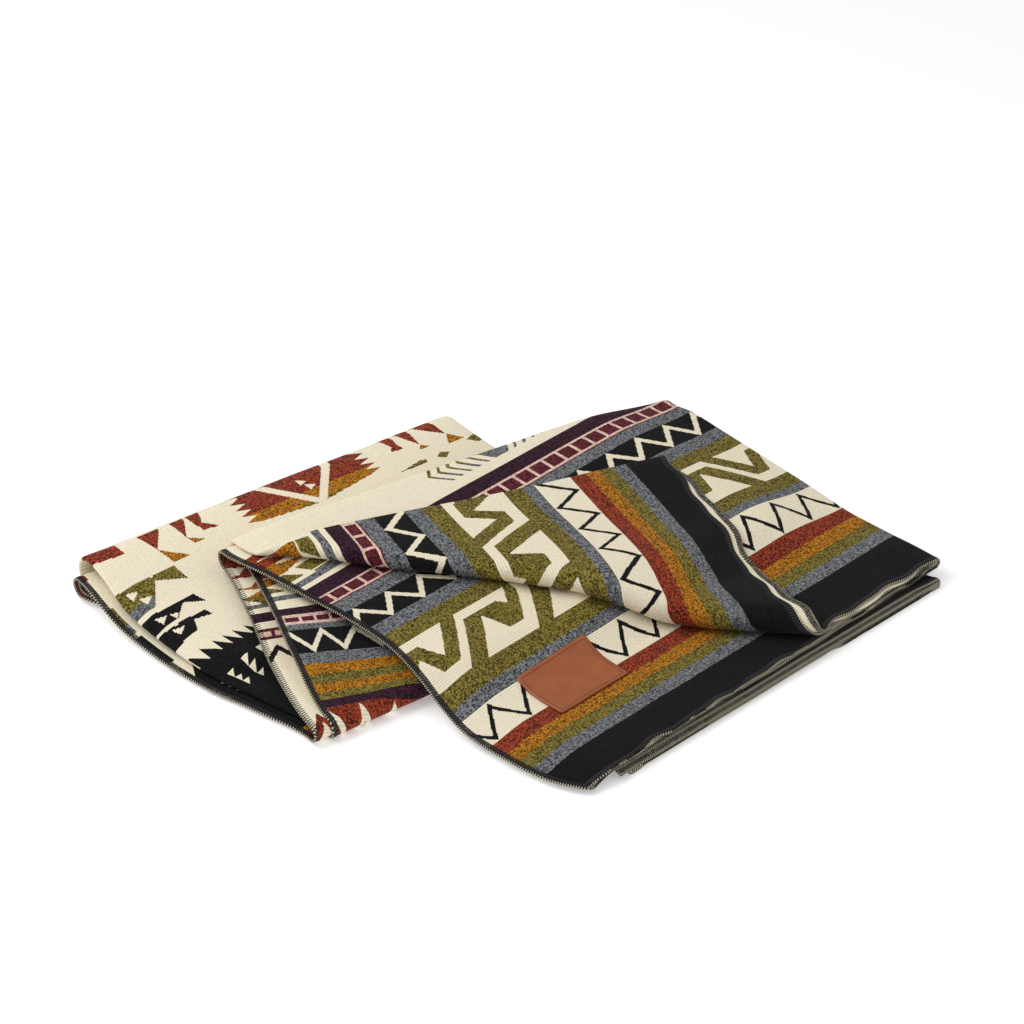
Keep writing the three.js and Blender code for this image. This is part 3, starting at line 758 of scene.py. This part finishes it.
# Each thread of one stitch: its path as (inwards, along the edge, height), whether it is the cream one, and
# half its width
THREAD_PATHS = [
    ([(-SEAM_WIDE, -0.9, 0.75), (-SEAM_WIDE + 0.9, -0.7, 0.98), (-0.9, 0.8, 0.98), (0.75, 1.0, 0.3),
      (0.75, 1.1, -0.4)], 0, 0.85),
    ([(0.1, 0.0, 0.98), (0.85, 0.15, 0.35), (0.85, 0.35, -0.45), (-0.5, 0.5, -0.98)], 1, 0.45),
    ([(-0.5, 0.5, -0.98), (-SEAM_WIDE + 0.6, -0.7, -0.98), (-SEAM_WIDE, -0.9, -0.75)], 0, 0.4),
]
bm = bmesh.new()
for path, colour, half_wide in THREAD_PATHS:
    made = bmesh.ops.create_grid(bm, x_segments=len(path) - 1, y_segments=4, size=1)["verts"]
    for vert in made:
        i = round((vert.co.x + 1) / 2 * (len(path) - 1))
        angle = (vert.co.y + 1) * math.pi
        round_thread = Vector((0, half_wide * math.cos(angle), THREAD_THICK * math.sin(angle)))
        vert.co = Vector(path[i]) + round_thread
    for face in {f for v in made for f in v.link_faces}:
        face.material_index = colour
        face.smooth = True
bmesh.ops.remove_doubles(bm, verts=bm.verts, dist=0.001)
bmesh.ops.recalc_face_normals(bm, faces=bm.faces)
stitch_mesh = bpy.data.meshes.new("one_stitch")
bm.to_mesh(stitch_mesh)
bm.free()
one = np.array([v.co for v in stitch_mesh.vertices])
places = []
for u, s, out_u, out_s, length in ((0, 0, 0, -1, CUT_WIDTH), (0, LONG, 0, 1, CUT_WIDTH),
                                   (0, 0, -1, 0, LONG), (CUT_WIDTH, 0, 1, 0, LONG)):
    count = int(length / STITCH)
    for k in range(count):
        along = (k + 0.5) * length / count
        places.append((u + (along if out_s else 0), s + (along if out_u else 0), out_u, out_s))
bm = bmesh.new()
for _ in places:
    bm.from_mesh(stitch_mesh)
places = np.array(places, float)[:, None, :]
stitch_u = places[..., 0] + places[..., 2] * one[:, 0] + np.abs(places[..., 3]) * one[:, 1]
stitch_s = places[..., 1] + places[..., 3] * one[:, 0] + np.abs(places[..., 2]) * one[:, 1]
flat = np.stack([stitch_u, stitch_s, np.broadcast_to(one[:, 2], stitch_u.shape)], -1).reshape(-1, 3)
for vert, place in zip(bm.verts, fold_cloth(flat)):
    vert.co = place
bmesh.ops.recalc_face_normals(bm, faces=bm.faces)
edging_mesh = bpy.data.meshes.new("overlock_edging")
bm.to_mesh(edging_mesh)
bm.free()
edging = bpy.data.objects.new("overlock_edging", edging_mesh)
bpy.context.scene.collection.objects.link(edging)
for name, dark, light in (("black_thread", (10, 9, 10), (34, 33, 34)),
                          ("cream_thread", (196, 184, 150), (236, 226, 198))):
    material = bpy.data.materials.new(name)
    material.use_nodes = True
    g = Graph(material.node_tree)
    shader = material.node_tree.nodes["Principled BSDF"]
    spot = g.put("ShaderNodeTexCoord")
    fibres = g.put("ShaderNodeTexNoise")
    fibres.inputs["Scale"].default_value = 900
    fibres.inputs["Detail"].default_value = 3
    g.join(spot.outputs["Object"], fibres.inputs["Vector"])
    g.join(g.mix(fibres.outputs[0], linear(dark), linear(light)), shader.inputs["Base Color"])
    bump = g.put("ShaderNodeBump")
    bump.inputs["Strength"].default_value = 0.4
    bump.inputs["Distance"].default_value = 0.0003
    g.join(fibres.outputs[0], bump.inputs["Height"])
    g.join(bump.outputs[0], shader.inputs["Normal"])
    shader.inputs["Roughness"].default_value = 0.85
    shader.inputs["Sheen Weight"].default_value = 0.1
    edging_mesh.materials.append(material)
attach(edging, "root")

# The patch: a piece of tan leather with slightly eased corners, laid on the front layer near the edge and pressed
# with a fine line round its border. Its face is bare.
PATCH_WIDE, PATCH_LONG, PATCH_THICK = 76, 52, 1.4
PATCH_GAP = 0.45
PATCH_ACROSS, PATCH_ALONG = 104, 104.5
PATCH_CORNER = 1.0
PRESSED_INSET, PRESSED_HALF = 0.0030, 0.00045
bm = bmesh.new()
bmesh.ops.create_grid(bm, x_segments=38, y_segments=26, size=1)
patch_u = starts[6] + MID - PATCH_ACROSS
flat = np.array([v.co for v in bm.verts])
side_y = flat[:, 1] * PATCH_LONG / 2
depth = PATCH_LONG / 2 - np.abs(side_y)
corner_chord = np.sqrt(np.maximum(0, PATCH_CORNER**2 - (PATCH_CORNER - depth) ** 2))
short = np.where(depth < PATCH_CORNER, PATCH_CORNER - corner_chord, 0)
side_x_mm = flat[:, 0] * (PATCH_WIDE / 2 - short)
lie = bm.loops.layers.uv.new("leather")
bm.verts.index_update()
for face in bm.faces:
    face.smooth = True
    for loop in face.loops:
        i = loop.vert.index
        loop[lie].uv = (side_x_mm[i] * MM, side_y[i] * MM)
rest = np.stack([patch_u - side_x_mm, PATCH_ALONG + side_y, np.zeros(len(flat))], 1)
rest[:, 2] = CLOTH / 2 + PATCH_GAP + PATCH_THICK / 2
for vert, place in zip(bm.verts, fold_cloth(rest)):
    vert.co = place
patch_mesh = bpy.data.meshes.new("leather_patch_face")
bm.to_mesh(patch_mesh)
bm.free()
patch = bpy.data.objects.new("leather_patch_face", patch_mesh)
bpy.context.scene.collection.objects.link(patch)
wall = patch.modifiers.new("thickness", "SOLIDIFY")
wall.thickness = PATCH_THICK * MM
wall.offset = 0
leather = bpy.data.materials.new("tan_leather")
leather.use_nodes = True
g = Graph(leather.node_tree)
shader = leather.node_tree.nodes["Principled BSDF"]
uv = g.put("ShaderNodeUVMap", uv_map="leather")
parts = g.put("ShaderNodeSeparateXYZ")
g.join(uv.outputs[0], parts.inputs[0])
from_x = g.math("SUBTRACT", PATCH_WIDE * MM / 2, g.math("ABSOLUTE", parts.outputs[0]))
from_y = g.math("SUBTRACT", PATCH_LONG * MM / 2, g.math("ABSOLUTE", parts.outputs[1]))
inset = g.math("MINIMUM", from_x, from_y)
groove = g.math("LESS_THAN", g.math("ABSOLUTE", g.math("SUBTRACT", inset, PRESSED_INSET)), PRESSED_HALF)
grain = g.put("ShaderNodeTexVoronoi", feature="DISTANCE_TO_EDGE")
grain.inputs["Scale"].default_value = 900
g.join(uv.outputs[0], grain.inputs["Vector"])
clouds = g.put("ShaderNodeTexNoise")
clouds.inputs["Scale"].default_value = 60
clouds.inputs["Detail"].default_value = 6
g.join(uv.outputs[0], clouds.inputs["Vector"])
tan = g.mix(clouds.outputs[0], linear((138, 72, 38)), linear((178, 102, 58)))
tan = g.mix(g.math("MULTIPLY", groove, 0.55), tan, linear((92, 44, 26)))
g.join(tan, shader.inputs["Base Color"])
rise = g.math("SUBTRACT", g.math("MULTIPLY", grain.outputs[0], 0.8), g.math("MULTIPLY", groove, 1.5))
bump = g.put("ShaderNodeBump")
bump.inputs["Strength"].default_value = 0.5
bump.inputs["Distance"].default_value = 0.0004
g.join(rise, bump.inputs["Height"])
g.join(bump.outputs[0], shader.inputs["Normal"])
shader.inputs["Roughness"].default_value = 0.5
shader.inputs["Specular IOR Level"].default_value = 0.4
patch_mesh.materials.append(leather)
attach(patch, "root")
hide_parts("leather_patch")

# The floor: plain white paper that glows a little, so that it stays white. Two soft lights stand over it, the
# stronger behind the blanket's left, in an even white room.
bm = bmesh.new()
bmesh.ops.create_grid(bm, x_segments=1, y_segments=1, size=30)
floor_mesh = bpy.data.meshes.new("floor")
bm.to_mesh(floor_mesh)
bm.free()
floor = bpy.data.objects.new("floor", floor_mesh)
bpy.context.scene.collection.objects.link(floor)
paper = bpy.data.materials.new("white_paper")
paper.use_nodes = True
paper_shader = paper.node_tree.nodes["Principled BSDF"]
paper_shader.inputs["Base Color"].default_value = (0.95, 0.95, 0.95, 1)
paper_shader.inputs["Roughness"].default_value = 1
paper_shader.inputs["Specular IOR Level"].default_value = 0
paper_shader.inputs["Emission Color"].default_value = (1, 1, 1, 1)
paper_shader.inputs["Emission Strength"].default_value = 0.3
floor_mesh.materials.append(paper)
world = bpy.data.worlds.new("studio")
world.use_nodes = True
room_light = world.node_tree.nodes["Background"]
room_light.inputs["Color"].default_value = (1, 1, 1, 1)
room_light.inputs["Strength"].default_value = 0.5
bpy.context.scene.world = world
for name, place, size, power in (("key", (-0.9, 0.8, 1.6), 1.4, 20), ("fill", (0.6, -1.4, 1.5), 2.0, 6)):
    lamp = bpy.data.lights.new(name, "AREA")
    lamp.size = size
    lamp.energy = power
    light = bpy.data.objects.new(name, lamp)
    light.location = place
    light.rotation_euler = (-Vector(place)).to_track_quat("-Z", "Y").to_euler()
    bpy.context.scene.collection.objects.link(light)
bpy.context.scene.view_settings.view_transform = "Standard"
bpy.context.scene.view_settings.look = "None"

bpy.context.view_layer.update()
